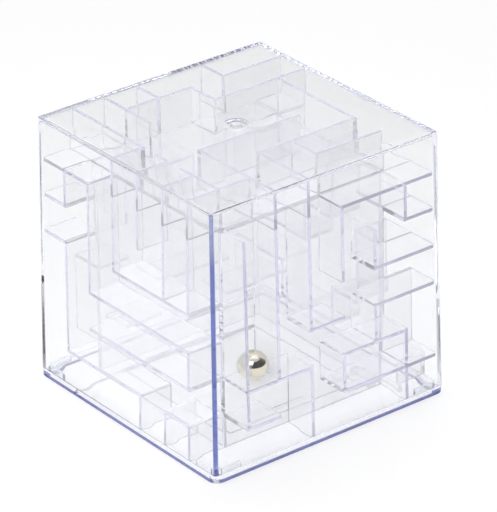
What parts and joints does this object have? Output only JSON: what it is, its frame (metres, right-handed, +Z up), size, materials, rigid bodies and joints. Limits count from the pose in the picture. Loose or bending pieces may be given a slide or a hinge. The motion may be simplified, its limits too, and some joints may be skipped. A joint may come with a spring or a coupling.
{
  "type": "tilt maze",
  "caption": "Clear plastic cube with a steel ball in a maze of ribs on all its faces, round a locked inner box whose hatch and ball-worked latch are underneath",
  "frame": {"origin": "centre of the face it rests on", "axes": "+Z up, the front maze face is -Y, the right one +X"},
  "size_m": [0.0962, 0.0962, 0.0951],
  "materials": {
    "clear_cover": "clear, polished",
    "clear_base": "clear, polished",
    "clear_panels": "clear, polished",
    "clear_ribs": "clear, polished",
    "steel": "polished"
  },
  "bodies": {
    "case": {"cover": "clear_cover", "base_plate": "clear_base", "top_panel": "clear_panels", "front_panel": "clear_panels", "back_panel": "clear_panels", "left_panel": "clear_panels", "right_panel": "clear_panels", "top_cross_ribs": "clear_ribs", "top_long_ribs": "clear_ribs", "front_shelves": "clear_ribs", "front_uprights": "clear_ribs", "back_shelves": "clear_ribs", "back_uprights": "clear_ribs", "left_shelves": "clear_ribs", "left_uprights": "clear_ribs", "right_shelves": "clear_ribs", "right_uprights": "clear_ribs", "hinge_pin": "steel", "latch_keeper": "clear_ribs"},
    "ball": {"steel_ball": "steel"},
    "hatch": {"hatch": "clear_base"},
    "latch": {"latch_slide": "clear_ribs"}
  },
  "joints": [
    {"name": "ball_travel", "type": "slide", "parent": "case", "child": "ball", "axis": [0, 0.0167, 0.9999], "range_m": [0, 0.0548]},
    {"name": "hatch_hinge", "type": "hinge", "parent": "case", "child": "hatch", "pos_m": [0, 0.0276, 0.0011], "axis": [1, 0, 0], "range_deg": [0, 95]},
    {"name": "latch_travel", "type": "slide", "parent": "case", "child": "latch", "axis": [0, 1, 0], "range_m": [0, 0.004]}
  ]
}
